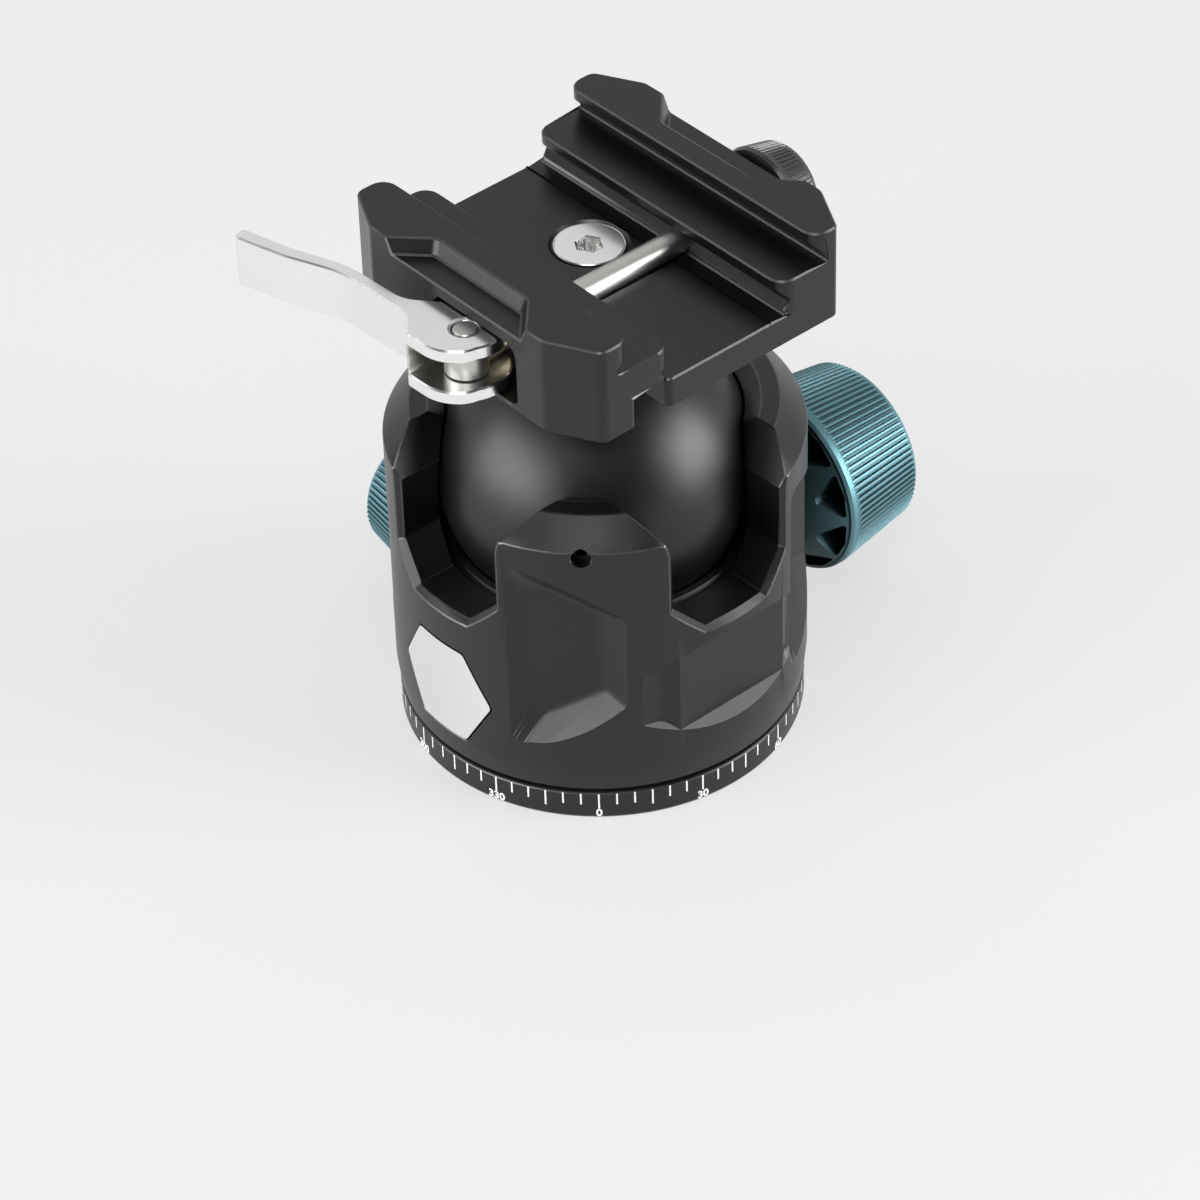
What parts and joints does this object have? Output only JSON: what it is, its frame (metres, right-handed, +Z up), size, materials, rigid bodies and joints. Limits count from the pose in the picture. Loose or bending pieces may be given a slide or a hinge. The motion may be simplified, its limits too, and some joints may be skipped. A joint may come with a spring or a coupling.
{
  "type": "tripod ball head",
  "caption": "Tripod ball head with panning base, drop-notch housing, lock knobs and a lever clamp with two stacked channels, for a dovetail plate and an accessory rail.",
  "frame": {"origin": "centre of the base underside, at the mouth of the tripod thread", "axes": "+Z up along the pan axis, +X along the main lock knob, +Y along the pan lock knob; the drop notches face -X and -Y"},
  "size_m": [0.1079, 0.0869, 0.106],
  "materials": {
    "black_anodised": "fine bead-blasted, black anodised",
    "plain_aluminium": "turned, natural",
    "teal_anodised": "turned, teal anodised",
    "ball_coat": "smooth matt black coating",
    "steel": "stainless, satin",
    "black_steel": "blackened",
    "polished": "polished",
    "brass": "turned",
    "nylon": "natural",
    "black_polymer": "smooth"
  },
  "bodies": {
    "base": {"pan_base": "black_anodised", "thread_insert": "brass", "pan_hub": "steel", "base_screws": "steel", "pan_washer": "nylon"},
    "housing": {"housing": "black_anodised", "bearing_ring": "plain_aluminium", "hex_plate": "polished", "grub_screw": "black_steel", "lock_bushing": "plain_aluminium", "pan_bushing": "plain_aluminium"},
    "lock_pusher": {"lock_pusher": "steel"},
    "lock_knob": {"lock_knob": "teal_anodised", "lock_spindle": "steel", "lock_knob_screw": "black_steel"},
    "pan_shoe": {"pan_shoe": "brass"},
    "pan_knob": {"pan_knob": "teal_anodised", "pan_spindle": "steel", "pan_knob_screw": "black_steel"},
    "ball_seat": {"ball_seat": "black_polymer"},
    "ball": {"ball": "ball_coat"},
    "clamp": {"clamp_base": "black_anodised", "clamp_screw": "steel", "guide_pins": "steel", "jaw_springs": "steel"},
    "rod": {"draw_rod": "steel", "lever_pin": "steel"},
    "jaw": {"jaw": "black_anodised", "saddle_washer": "brass"},
    "lever": {"lever": "steel"},
    "tension_knob": {"tension_knob": "black_anodised", "tension_nut": "steel"}
  },
  "joints": [
    {"name": "pan", "type": "hinge", "parent": "base", "child": "housing", "pos_m": [0, 0, 0], "axis": [0, 0, 1], "continuous": true},
    {"name": "lock_travel", "type": "slide", "parent": "housing", "child": "lock_pusher", "axis": [1, 0, 0], "range_m": [0, 0.000937]},
    {"name": "lock_turn", "type": "hinge", "parent": "lock_pusher", "child": "lock_knob", "pos_m": [0, 0, 0.0216], "axis": [1, 0, 0], "range_deg": [0, 270]},
    {"name": "pan_lock_travel", "type": "slide", "parent": "housing", "child": "pan_shoe", "axis": [0, 1, 0], "range_m": [0, 0.000749]},
    {"name": "pan_lock_turn", "type": "hinge", "parent": "pan_shoe", "child": "pan_knob", "pos_m": [0, 0, 0.016], "axis": [0, 1, 0], "range_deg": [0, 270]},
    {"name": "ball_yaw", "type": "hinge", "parent": "housing", "child": "ball_seat", "pos_m": [0, 0, 0.0496], "axis": [0, 0, 1], "range_deg": [0, 90]},
    {"name": "ball_tilt", "type": "hinge", "parent": "ball_seat", "child": "ball", "pos_m": [0, 0, 0.0496], "axis": [0, -1, 0], "range_deg": [-40, 90]},
    {"name": "ball_swivel", "type": "hinge", "parent": "ball", "child": "clamp", "pos_m": [0, 0, 0.0496], "axis": [0, 0, 1], "continuous": true},
    {"name": "tension_turn", "type": "hinge", "parent": "clamp", "child": "tension_knob", "pos_m": [0, -0.0106, 0.0952], "axis": [-1, 0, 0], "range_deg": [0, 2520]},
    {"name": "rod_slide", "type": "slide", "parent": "clamp", "child": "rod", "axis": [1, 0, 0], "range_m": [0, 0.00489], "deforming": ["jaw_springs"]},
    {"name": "lever_swing", "type": "hinge", "parent": "rod", "child": "lever", "pos_m": [-0.035, -0.0106, 0.0952], "axis": [0, 0, 1], "range_deg": [0, 80]},
    {"name": "jaw_slide", "type": "slide", "parent": "rod", "child": "jaw", "axis": [-1, 0, 0], "range_m": [0, 0.0017], "deforming": ["jaw_springs"]}
  ],
  "couplings": [
    {"joint": "lock_turn", "follows": "lock_travel", "rad_per_m": 5026.6},
    {"joint": "pan_lock_turn", "follows": "pan_lock_travel", "rad_per_m": 6283.2},
    {"joint": "tension_turn", "follows": "rod_slide", "rad_per_m": 8976},
    {"joint": "jaw_slide", "follows": "lever_swing", "m_per_rad": 0.00121}
  ]
}
